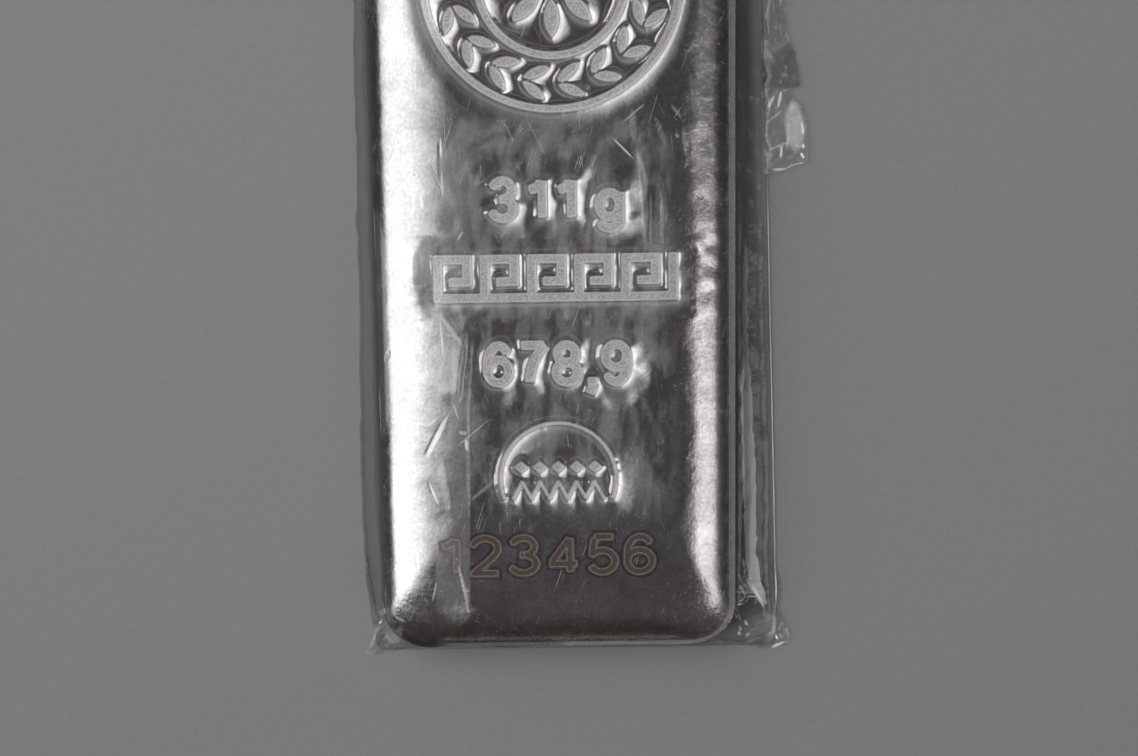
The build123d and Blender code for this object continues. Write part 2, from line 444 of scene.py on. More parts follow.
def ringedGrid(name, rings, blendInset, cell, cellLong, halfWide, halfLong):
    # A grid whose outer rows close in rings round the piece. Each ring is a rounded rectangle, given
    # as its inset from the left, right, low and high sides, its corner radius and its height at each
    # side. From blendInset on, the rows run straight across. Gives the plain grid and its points' places.
    last = rings[-1]["inset"][0]
    straight = np.linspace(last, blendInset, max(2, round((blendInset - last) / cell) + 1))[1:]
    steps = []
    for before, after in zip(rings, rings[1:]):
        steps.append(max(0.02, math.hypot(after["inset"][0] - before["inset"][0],
                                          (after["z"][0] - before["z"][0]) * 0.3)))
    pace = np.concatenate([[0], np.cumsum(steps)])
    pace = np.concatenate([pace, pace[-1] + straight - last])
    insets = np.array([ring["inset"] for ring in rings] + [(value,) * 4 for value in straight])
    radii = np.array([ring["radius"] for ring in rings] + [
        max(0.0, rings[-1]["radius"] * (1 - (value - last) / (blendInset - last))) for value in straight
    ])
    heights = np.array([ring["z"] for ring in rings] + [rings[-1]["z"]] * len(straight))
    edge = len(insets) - 1

    def lineSpan(half, step):
        across = 2 * (half - blendInset)
        return np.linspace(blendInset, blendInset + across, max(2, round(across / step) + 1))[1:-1]

    middleX, middleY = lineSpan(halfWide, cell), lineSpan(halfLong, cellLong)
    countX, countY = 2 * (edge + 1) + len(middleX), 2 * (edge + 1) + len(middleY)
    column, row = np.meshgrid(np.arange(countX), np.arange(countY))
    fromX = np.minimum(column, countX - 1 - column)
    fromY = np.minimum(row, countY - 1 - row)
    ringX, ringY = np.minimum(fromX, edge), np.minimum(fromY, edge)
    ring = np.minimum(ringX, ringY)
    isLeft, isLow = column < countX / 2, row < countY / 2
    insetX = np.where(isLeft, insets[ring, 0], insets[ring, 1])
    insetY = np.where(isLow, insets[ring, 2], insets[ring, 3])
    radius = radii[ring]

    def alongSide(other, inset):
        # how far along a side, from the neighbouring side, a point of its ring lies
        share = (pace[other] - pace[ring]) / np.maximum(pace[edge] - pace[ring], 1e-9)
        arcLength = radius * math.pi / 4
        path = share * (arcLength + blendInset - inset - radius)
        turn = np.minimum(path / np.maximum(radius, 1e-9), math.pi / 4) + math.pi / 4
        onArc = path < arcLength
        along = np.where(onArc, inset + radius * (1 - np.cos(turn)), inset + radius + path - arcLength)
        inward = np.where(onArc, radius * (1 - np.sin(turn)), 0)
        own = 0.5 + 0.5 * np.clip(path / np.maximum(arcLength, 1e-9), 0, 1)
        return along, inward, own

    alongX, inwardY, ownEnd = alongSide(ringX, insetX)
    alongY, inwardX, ownSide = alongSide(ringY, insetY)
    onEnd = ringY <= ringX
    offX = np.where(onEnd, alongX, insetX + inwardX)
    offY = np.where(onEnd, insetY + inwardY, alongY)
    spanX = np.concatenate([np.zeros(edge + 1), middleX, np.zeros(edge + 1)])
    spanY = np.concatenate([np.zeros(edge + 1), middleY, np.zeros(edge + 1)])
    x = np.where(isLeft, offX - halfWide, halfWide - offX)
    y = np.where(isLow, offY - halfLong, halfLong - offY)
    x = np.where(fromX > edge, spanX[column] - halfWide, x)
    y = np.where(fromY > edge, spanY[row] - halfLong, y)
    atSide = np.where(isLeft, heights[ring, 0], heights[ring, 1])
    atEnd = np.where(isLow, heights[ring, 2], heights[ring, 3])
    endShare = np.where(onEnd, ownEnd, 1 - ownSide)
    z = atEnd * endShare + atSide * (1 - endShare)

    bpy.ops.object.select_all(action="DESELECT")
    bpy.ops.mesh.primitive_grid_add(x_subdivisions=countX - 1, y_subdivisions=countY - 1, size=1)
    piece = bpy.context.object
    piece.name = name
    piece.data.name = name
    return piece, x, y, z, ring


def setPlaces(piece, x, y, z):
    places = np.stack([x, y, z], axis=-1).reshape(-1, 3) * mm
    piece.data.vertices.foreach_set("co", places.astype(np.float32).ravel())
    piece.data.update()


def closeUnderside(piece):
    bpy.ops.object.mode_set(mode="EDIT")
    bpy.ops.mesh.select_mode(type="EDGE")
    bpy.ops.mesh.select_all(action="DESELECT")
    bpy.ops.mesh.select_non_manifold()
    bpy.ops.mesh.edge_face_add()
    bpy.ops.mesh.select_all(action="SELECT")
    bpy.ops.mesh.normals_make_consistent(inside=False)
    bpy.ops.object.mode_set(mode="OBJECT")
    bpy.ops.object.shade_smooth()


def setAttribute(piece, name, values):
    layer = piece.data.attributes.new(name, "FLOAT", "POINT")
    layer.data.foreach_set("value", values.astype(np.float32).ravel())


def roundelDistances(x, y):
    s = roundelSettings
    y = y - s["y"]
    outer, inner = (ringDistance(x, y, s[name], s["floor"]) for name in ("outerRadius", "innerRadius"))
    rings = np.minimum(outer, inner)
    figures = np.hypot(x, y) - s["eye"]
    for number in range(s["pairs"]):
        turn = 2 * math.pi * number / s["pairs"]
        for side in (1, -1):
            reach = s["wreathRadius"] + side * s["spread"]
            middle = reach * math.cos(turn), reach * math.sin(turn)
            bearing = turn + math.radians(90 - side * s["lean"])
            figures = np.minimum(figures, leafDistance(x, y, *s["leaf"], middle, bearing))
    for number in range(s["petals"]):
        turn = 2 * math.pi * number / s["petals"]
        middle = s["petalMiddle"] * math.cos(turn), s["petalMiddle"] * math.sin(turn)
        figures = np.minimum(figures, leafDistance(x, y, *s["petal"], middle, turn))
    return rings, figures


def keyDistance(x, y):
    s = keySettings
    length, rise = s["length"] - s["stroke"], s["height"] - s["stroke"]
    x, y = x + length / 2, y - s["y"] + rise / 2
    lines = [((0, 0), (length, 0)), ((length, 0), (length, rise))]
    for number in range(s["repeats"]):
        start = number * length / s["repeats"]
        hook, tip = start + s["hookReach"], start + s["hookTip"]
        lines += [
            ((start, 0), (start, rise)),
            ((start, rise), (hook, rise)),
            ((hook, rise), (hook, s["tongue"])),
            ((hook, s["tongue"]), (tip, s["tongue"])),
        ]
    half = s["stroke"] / 2
    return np.minimum.reduce([boxDistance(x, y, *line, s["stroke"], half) for line in lines])


def stampDistances(x, y):
    s = stampSettings
    y = y - s["y"]
    arch = archDistance(x, y, s["radius"], s["floor"], s["sweep"])
    rows = []
    for number in range(s["lozenges"]):
        offX = x - (number - (s["lozenges"] - 1) / 2) * s["lozengePitch"]
        wide, high = s["lozenge"]
        rows.append(lozengeDistance(offX, y - s["lozengeY"], wide / 2, high / 2))
    steps = 2 * s["teeth"]
    half = s["toothHeight"] / 2
    corners = [
        ((number - steps / 2) * s["toothPitch"] / 2, s["toothY"] + (half if number % 2 else -half))
        for number in range(steps + 1)
    ]
    rows += [
        boxDistance(x, y, *pair, s["toothStroke"], s["toothStroke"] / 2)
        for pair in zip(corners, corners[1:])
    ]
    return arch, np.minimum.reduce(rows)


def lineDistance(x, y, line):
    s = lineSettings[line]
    return np.minimum.reduce([strokeDistance(x, y, points, s["stroke"]) for points in layLine(s)])


farAway = 9.0


def nearBand(x, y, band, measure):
    # measures only the points between two heights, and takes the rest as far away
    near = (y > band[0]) & (y < band[1])
    measured = measure(x[near], y[near])
    if not isinstance(measured, tuple):
        measured = (measured,)
    fields = []
    for values in measured:
        field = np.full(x.shape, farAway)
        field[near] = values
        fields.append(field)
    return fields


def nearLine(x, y, line):
    (field,) = nearBand(x, y, lineSettings[line]["near"], lambda px, py: lineDistance(px, py, line))
    return field


def markFields(x, y):
    # (distance, lip width, profile) of each kind of mark
    p = pressSettings
    rings, figures = nearBand(x, y, roundelSettings["near"], roundelDistances)
    (key,) = nearBand(x, y, keySettings["near"], keyDistance)
    arch, rows = nearBand(x, y, stampSettings["near"], stampDistances)
    outside = np.hypot(x, y - roundelSettings["y"]) > roundelSettings["outerRadius"]
    ringLip = np.where(outside, p["roundelLip"], p["roundel"]["lip"])
    kinds = (
        ("roundel", figures), ("key", key), ("arch", arch), ("rows", rows),
        ("lines", nearLine(x, y, "weight")), ("lines", nearLine(x, y, "count")),
    )
    return [(rings, ringLip, p["roundel"])] + [
        (distance, p[kind]["lip"], p[kind]) for kind, distance in kinds
    ]


def pressedHeight(distance, lip, profile):
    # a flat floor, the rounded lip round it and the metal dragged down with it
    depth = pressSettings["depth"]
    outside = np.maximum(distance, 0)
    sunk = profile["sink"] * np.clip(1 - outside / profile["reach"], 0, 1) ** profile["power"]
    share = np.clip(1 - outside / lip, 0, 1)
    rounded = (depth - profile["sink"]) * (1 - np.sqrt(np.maximum(1 - share**2, 0)))
    return np.where(distance <= 0, -depth, -sunk - rounded)


def crownHeights(inset):
    # The edge falls from the flat top on a quarter ellipse, and down a straight shoulder to the side.
    # Gives the height at the left, right, low and high sides.
    s = barSettings
    share = max(0.0, 1 - max(inset, s["shoulder"]) / s["edgeReach"])
    pillow = barTop - s["edgeDrop"] * (1 - math.sqrt(1 - share**2))
    run = max(s["shoulder"] - inset, 0)
    tilts = (s["shoulderTilt"], s["shoulderTilt"], s["footTilt"], s["footTilt"])
    return tuple(pillow - run * math.tan(math.radians(tilt)) for tilt in tilts)


def makeBar():
    s = barSettings
    rings = []
    for step in range(s["footRings"] + 1):
        turn = math.pi / 2 * step / s["footRings"]
        inset = s["footRadius"] * (1 - math.sin(turn))
        rings.append({
            "inset": (inset,) * 4, "radius": s["cornerRadius"] - inset,
            "z": (barBottom + s["footRadius"] * (1 - math.cos(turn)),) * 4,
        })
    foot = rings[-1]["z"][0]
    for step in range(1, s["wallRings"]):
        rings.append({
            "inset": (0.0,) * 4, "radius": s["cornerRadius"],
            "z": tuple(foot + (top - foot) * step / s["wallRings"] for top in crownHeights(0.0)),
        })
    spread = s["topCornerRadius"] - s["cornerRadius"]
    insets = list(s["crownInsets"])
    while insets[-1] + s["cell"] < s["edgeReach"]:
        insets.append(insets[-1] + s["cell"])
    insets.append(s["edgeReach"])
    for inset in insets:
        rings.append({
            "inset": (inset,) * 4, "radius": s["cornerRadius"] + spread * inset / s["edgeReach"],
            "z": crownHeights(inset),
        })
    piece, x, y, z, ring = ringedGrid(
        "silver_bar_dressed", rings, s["blendInset"], s["cell"], s["cell"], halfWidth, halfLength
    )
    print("bar grid:", x.shape)

    # the grid's points next to an outline are drawn onto it, so the floors end in clean lines
    reach = s["snapReach"] * s["cell"]
    for distance, _, _ in markFields(x, y):
        stepX = np.gradient(distance, axis=1) / np.maximum(np.gradient(x, axis=1), 1e-3)
        stepY = np.gradient(distance, axis=0) / np.maximum(np.gradient(y, axis=0), 1e-3)
        slope = np.maximum(np.hypot(stepX, stepY), 0.5)
        near = np.abs(distance) < reach
        x = np.where(near, x - distance * stepX / slope**2, x)
        y = np.where(near, y - distance * stepY / slope**2, y)

    height = np.zeros(x.shape)
    marks = np.full(x.shape, farAway)
    pulling = np.full(x.shape, farAway)
    for distance, lip, profile in markFields(x, y):
        distance = np.where(np.abs(distance) < 0.02, 0, distance)
        height = np.minimum(height, pressedHeight(distance, lip, profile))
        marks = np.minimum(marks, distance)
        if profile is pressSettings["lines"] or profile is pressSettings["key"]:
            pulling = np.minimum(pulling, distance)
    isBeside = marks > s["markEdge"]
    share = s["smoothingShare"]
    for turn in range(s["smoothing"]):
        mean = sum(np.roll(height, step, axis) for axis in (0, 1) for step in (1, -1)) / 4
        height = np.where(isBeside, height * (1 - share) + mean * share, height)
    swell = s["waveHeight"] * waves(x, y, s["waveLength"], s["seed"])
    swell += s["dimpleHeight"] * waves(x, y, s["dimpleLength"], s["seed"] + 1)
    pull = np.clip(1.2 - np.maximum(pulling, 0) / s["pullReach"], 0, 1) * isBeside
    swell += s["pullHeight"] * pull * waves(1.2 * x, 0.75 * y, s["pullLength"], s["seed"] + 2)
    isTop = ring > s["footRings"] + s["wallRings"]
    z = z + np.where(isTop, height + swell, 0)
    z = np.minimum(z, barTop + s["topMargin"])

    serial = nearLine(x, y, "serial")
    z -= np.where(isTop, s["serialDepth"] * np.clip(-serial / 0.1, 0, 1), 0)
    setPlaces(piece, x, y, z)
    setAttribute(piece, "markDistance", marks)
    setAttribute(piece, "serialDistance", serial)

    closeUnderside(piece)
    return piece


# families of scratches: their turn, how many pass per millimetre across and along, and how rare
scratchSettings = (
    (3, 9.0, 0.16, 0.74), (-34, 7.0, 0.22, 0.75), (52, 8.0, 0.16, 0.74), (-18, 10.0, 0.1, 0.72),
    (27, 9.0, 0.12, 0.735),
)


# dents and gouges: middle, length, width, turn and depth
dentSettings = (
    (-19.1, -13.5, 1.7, 0.6, 69, 1.0), (-13.2, 8.0, 1.8, 0.25, -62, 0.6),
    (-12.9, 6.8, 2.0, 0.25, -62, 0.6), (16.9, 3.8, 0.9, 0.4, -57, 0.9),
    (16.2, 4.6, 1.1, 0.5, -42, 0.8), (-4.9, 12.2, 2.6, 0.2, -64, 0.6),
    (-14.0, -22.6, 5.4, 0.3, 63, 0.7), (2.8, 8.9, 1.5, 0.3, 74, 0.5),
    (4.4, 9.0, 1.6, 0.3, 70, 0.5), (15.9, -16.5, 1.2, 0.3, 60, 0.6),
)


# colours of the metal, of the sanded floors of the marks, of the painted highlight and painted shade
# along the marks' edges and of the burnt numerals
silverSettings = {
    "brightness": 0.93,
    "polished": (0.96, 0.955, 0.96, 1),
    "sandDark": (0.5, 0.49, 0.5, 1),
    "sandLight": (1.0, 0.98, 1.0, 1),
    "paintedRimHighlight": (0.95, 0.94, 0.94, 1),
    "paintedRimShade": (0.28, 0.27, 0.27, 1),
    "burntDark": (0.1, 0.08, 0.068, 1),
    "burntLight": (0.17, 0.14, 0.12, 1),
    "burntHalo": (0.07, 0.055, 0.045, 1),
    "burntLine": (0.42, 0.34, 0.28, 1),
    "relief": 0.016,
}


def silverMaterial():
    s = silverSettings
    shader = Shader(bpy.data.materials.new("pressedSilver"))
    mark = shader.attribute("markDistance")
    serial = shader.attribute("serialDistance")
    place = shader.objectPlace()

    floorMask = mark.ramp(-0.1, 0.02, 1.0, 0.0)
    # a painted highlight along the inside of each mark's edge, and painted shade on its wall
    paintedRimHighlight = mark.band(-0.14, 0.05, 0.06)
    paintedRimShade = mark.band(0.06, 0.05, 0.08)
    serialFill = serial.ramp(-0.05, 0.05, 1.0, 0.0)
    serialLine = serial.band(-0.17, 0.03, 0.05)
    serialHalo = serial.ramp(0.1, 0.42, 1.0, 0.0) * (1 - serialFill)

    grain = shader.noise(place, 2.4, 4.0, 0.58)
    sand = shader.noise(place, 5.5, 3.0, 0.75)
    smudge = shader.noise(place, 0.11, 3.0, 0.62)
    cloud = shader.noise(place, 0.5, 3.0, 0.65)
    brushed = shader.noise(shader.objectPlace((4.5, 0.3, 1.0)), 1.0, 4.0, 0.75)
    worn = shader.noise(place, 0.16, 2.0, 0.6).ramp(0.42, 0.6)
    scratches = 0.0
    for turn, across, along, rarity in scratchSettings:
        streak = shader.noise(shader.objectPlace((across, along, 1.0), (0, 0, turn)), 1.0, 1.0, 0.4)
        scratches = streak.ramp(rarity, rarity + 0.07) + scratches
    scratches = scratches.smaller(1.0) * (worn * 0.8 + 0.2)
    mottle = shader.noise(place, 1.1, 4.0, 0.74).ramp(0.42, 0.72)
    specks = shader.noise(place, 3.0, 2.0, 0.5).ramp(0.68, 0.74) * (worn * 0.8 + 0.1)
    dents = shader.strokes(place, dentSettings)
    # the metal is stretched smooth beside the marks, and rubbed dull at the foot
    polished = mark.ramp(0.3, 1.7, 1.0, 0.0) * (1 - floorMask)
    x, y = (shader.add("ShaderNodeSeparateXYZ", None, {0: place}, output=axis) for axis in "XY")
    foot = y.ramp(-36.0, -45.0)
    flat = abs(x).ramp(13.0, 16.5, 1.0, 0.0)

    # silver, dulled by handling in soft patches
    shade = smudge.ramp(0.3, 0.7, 0.78, 1.04) * cloud.ramp(0.25, 0.75, 0.86, 1.06)
    shade = shade * grain.ramp(0.3, 0.7, 0.84, 1.08) * brushed.ramp(0.3, 0.7, 0.9, 1.04)
    shade = (shade * s["brightness"]).smaller(0.96)
    plain = shader.add("ShaderNodeCombineColor", None, {0: shade, 1: shade * 0.985, 2: shade * 0.99})
    plain = shader.mixColor((scratches * 0.8).larger(polished * 0.7), plain, s["polished"])
    sandy = shader.mixColor(sand.ramp(0.36, 0.64), s["sandDark"], s["sandLight"])
    tone = shader.mixColor(floorMask, plain, sandy)
    # the painted highlight and the painted shade along the marks' edges
    tone = shader.mixColor(paintedRimHighlight * 0.75, tone, s["paintedRimHighlight"])
    tone = shader.mixColor(paintedRimShade * 0.45, tone, s["paintedRimShade"])
    burnt = shader.mixColor(sand.ramp(0.35, 0.65), s["burntDark"], s["burntLight"])
    tone = shader.mixColor(serialHalo * 0.85, tone, s["burntHalo"])
    tone = shader.mixColor(serialFill, tone, burnt)
    tone = shader.mixColor(serialLine * 0.9, tone, s["burntLine"])

    matte = floorMask.larger(serialFill)
    roughness = cloud.ramp(0.3, 0.7, 0.08, 0.12) + worn * 0.03 + foot * 0.06 + mottle * 0.1
    roughness = (roughness + scratches * 0.3 + specks * 0.25) * (1 - polished * 0.55)
    roughness = roughness + matte * 0.36 + serialHalo * 0.2
    metallic = 1 - matte * 0.5
    height = grain * (foot * 2.0 + 0.55) + cloud * (flat * 0.45 + 0.5) + brushed * (flat * 0.2 + 0.2)
    height = height + scratches * 0.4 + specks * 0.5
    height = height * (1 - matte.larger(polished) * 0.75) + sand * matte * 1.3 - dents * 2.0
    height = height + mark.ramp(-0.05, 0.1) * 5.0  # the crisp wall of a mark
    values = {
        "Base Color": tone, "Metallic": metallic, "Roughness": roughness,
        "Normal": shader.bump(height, s["relief"]),
    }
    return shader.finish(shader.add("ShaderNodeBsdfPrincipled", None, values))


silverBar = makeBar()
silverBar.data.materials.append(silverMaterial())
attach(silverBar, "root")
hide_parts("silver_bar")
print("bar done:", len(silverBar.data.polygons), "faces")


# The sleeve: one closed skin of clear film, from under the bar out to the sealed rim and back over
# the bar, with torn patches of spare film beside it

sleeveSettings = {
    "reach": 4.18,
    "cell": 0.25,
    "cellLong": 0.42,
    "blendInset": 22.0,
    "gap": 0.15,
    "topGap": 0.22,
    "topMargin": 0.24,
    # three rings bring the underside out to the rim
    "underOutset": 0.9,
    "underRadius": 5.9,
    "underShares": (0.0, 0.4, 0.8),
    "spanSteps": (1, 1, 2, 1, 4, 1, 2, 3, 3, 3, 2),
    "radii": (1.5, 1.6, 1.9, 3.0, 3.6, 5.6, 6.0, 6.1, 5.9, 5.7, 5.3, 5.1),
    # outset from the bar's side and height, from the outer edge in to the bar
    "left": ((2.28, 0.12), (2.18, 0.4), (2.0, 0.34), (1.6, 0.5), (1.3, 0.62), (1.0, 0.8),
             (0.8, 0.95), (0.65, 1.2), (0.5, 3.0), (0.36, 4.1), (0.25, 4.7)),
    "right": ((4.18, 0.12), (4.05, 0.42), (3.8, 0.36), (3.0, 0.5), (2.7, 0.72), (1.55, 1.25),
              (1.35, 1.4), (1.2, 2.0), (1.05, 3.6), (0.85, 4.55), (0.15, 4.9)),
    "low": ((2.0, 0.12), (1.9, 0.32), (1.7, 0.26), (1.4, 0.32), (1.15, 0.42), (0.9, 0.6),
            (0.75, 0.8), (0.6, 1.1), (0.45, 2.5), (0.36, 3.8), (0.3, 4.5)),
    "high": ((4.0, 0.12), (3.85, 0.32), (3.6, 0.28), (2.6, 0.35), (1.6, 0.45), (1.0, 0.6),
             (0.85, 0.9), (0.7, 1.5), (0.5, 2.6), (0.4, 3.8), (0.3, 4.5)),
    "leftSlope": 0.012,
    "rightSlope": -0.0228,
    # the left rim draws in towards its foot corner
    "leftTaper": 1.2,
    "taperFrom": -39.0,
    "taperLength": 10.0,
    # height and length of the film's slow waves and of its creases, and how the rim wanders
    "swell": (0.04, 6.0),
    "creases": (0.015, 5.0),
    "wander": ((0.12, 14.0), (0.06, 3.0)),
    "patchThickness": 0.05,
    "seed": 11,
}
# folds that stand up from the film: the line of the ridge, the widths of its west and east sides
# and its height
foldSettings = [
    {"ridge": [(-10.2, -10.5), (-10.9, -15.0), (-11.3, -18.8)], "west": 2.6, "east": 0.5,
     "height": 0.55},
    {"ridge": [(-20.45, 4.5), (-20.5, -10.0), (-20.5, -24.5)], "west": 0.15, "east": 1.3,
     "height": 0.65},
    {"ridge": [(-14.5, -6.5), (-11.8, -9.7), (-10.2, -11.7)], "west": 0.4, "east": 0.3, "height": 0.15},
    {"ridge": [(-8.9, -8.2), (-9.7, -18.6), (-9.96, -26.2), (-9.9, -35.0)], "west": 0.3, "east": 0.5,
     "height": 0.12},
    {"ridge": [(-12.9, -25.0), (-11.8, -32.0)], "west": 0.9, "east": 0.5, "height": 0.22},
    {"ridge": [(-10.2, -30.1), (-7.3, -27.4)], "west": 0.4, "east": 0.25, "height": 0.13},
    {"ridge": [(-12.5, -33.2), (-11.6, -38.6), (-10.4, -42.3)], "west": 0.25, "east": 0.2,
     "height": 0.12},
    {"ridge": [(9.56, 10.1), (10.4, -1.1)], "west": 0.5, "east": 0.4, "height": 0.16},
    {"ridge": [(12.1, 6.7), (12.2, -1.7)], "west": 0.5, "east": 0.4, "height": 0.16},
    {"ridge": [(12.9, 15.1), (14.4, 12.3), (14.6, 8.9), (13.95, 7.3)], "west": 0.3, "east": 0.3,
     "height": 0.1},
]
crumpleSettings = [
    {"middle": (-20.5, -46.5), "radius": 2.5, "height": 0.25, "size": 1.0, "haze": 0.2},
    {"middle": (-11.8, -43.3), "radius": 2.0, "height": 0.2, "size": 0.7, "haze": 0.3},
    {"middle": (12.0, 11.8), "radius": 4.0, "height": 0.12, "size": 1.8},
    {"middle": (22.5, -44.5), "radius": 2.4, "height": 0.3, "size": 1.3},
    {"middle": (24.0, -48.0), "radius": 2.8, "height": 0.25, "size": 1.0, "haze": 0.22},
]
# spare film beside the sleeve: where it leaves the rim, its torn outline, its crumples and between
# which heights it is stained, which is out of the tails' reach
patchSettings = {
    "flap": {
        "rim": [(23.6, 5.6), (23.2, 34.0)],
        "torn": [(28.7, 7.2), (28.8, 8.6), (28.44, 12.9), (26.4, 15.5), (27.75, 15.75), (27.4, 18.8),
                 (26.6, 21.05), (26.0, 25.5), (24.0, 34.0)],
        "height": 0.75, "crumple": 0.45, "size": 3.4, "steps": (22, 110), "stain": (15.5, 21.0),
    },
    "rightTail": {
        "rim": [(25.0, -41.0), (25.2, -44.0), (24.6, -48.6), (21.5, -49.9), (18.2, -49.6)],
        "torn": [(25.3, -41.0), (25.8, -43.0), (25.5, -44.6), (25.5, -46.0), (26.2, -47.2),
                 (26.9, -48.6), (27.0, -49.6), (26.5, -50.4), (25.2, -50.9), (23.6, -50.8),
                 (21.65, -50.3), (18.7, -50.2)],
        "height": 0.6, "crumple": 0.3, "size": 2.6, "steps": (10, 70), "stain": (98.0, 99.0),
    },
    "leftTail": {
        "rim": [(-22.5, -39.0), (-21.9, -44.0), (-21.0, -47.8), (-19.5, -49.6), (-17.0, -49.9)],
        "torn": [(-22.6, -39.2), (-22.4, -43.5), (-21.9, -46.0), (-21.7, -47.8), (-22.5, -49.6),
                 (-23.1, -51.0), (-21.6, -50.9), (-20.2, -50.6), (-18.6, -50.5), (-17.2, -50.3)],
        "height": 0.6, "crumple": 0.3, "size": 2.6, "steps": (10, 70), "stain": (98.0, 99.0),
    },
}


# bands of the film with clean edges, which carry painted sheen and highlights: (y, left, right) from the
# foot upwards
bandSettings = {
    # where the film lies double over the bar
    "strip": ((-43.6, -14.3, -10.3), (-33.7, -14.1, -10.1), (-31.8, -13.1, -10.05),
              (-26.9, -12.8, -9.85), (-15.7, -11.75, -9.9), (-9.0, -11.6, -9.8)),
    # the flat facet along the sealed right side
    "facet": ((-45.2, 24.0, 24.3), (-43.9, 22.9, 23.9), (-41.5, 21.9, 23.3), (-38.5, 21.6, 22.95),
              (-32.5, 21.35, 22.95), (-26.5, 21.12, 22.75), (-20.5, 21.0, 22.35),
              (-13.5, 21.2, 21.9), (-6.0, 21.2, 21.9), (-1.0, 21.5, 21.6)),
    # a thin crease that widens towards the foot
    "crease": ((-43.4, -10.75, -10.35), (-43.0, -10.72, -10.45), (-35.0, -12.1, -12.0)),
    # a painted sheen on the film over the right half
    "veil": ((-1.7, 9.8, 10.5), (6.0, 9.3, 10.3), (10.1, 9.0, 9.8)),
    # painted sheen on the slack film beside the double strip
    "glaze": ((-30.0, -14.6, -12.9), (-25.0, -14.4, -12.4), (-20.0, -14.0, -11.2),
              (-15.7, -13.8, -10.9), (-9.5, -13.7, -11.3), (-7.7, -13.8, -12.6)),
}
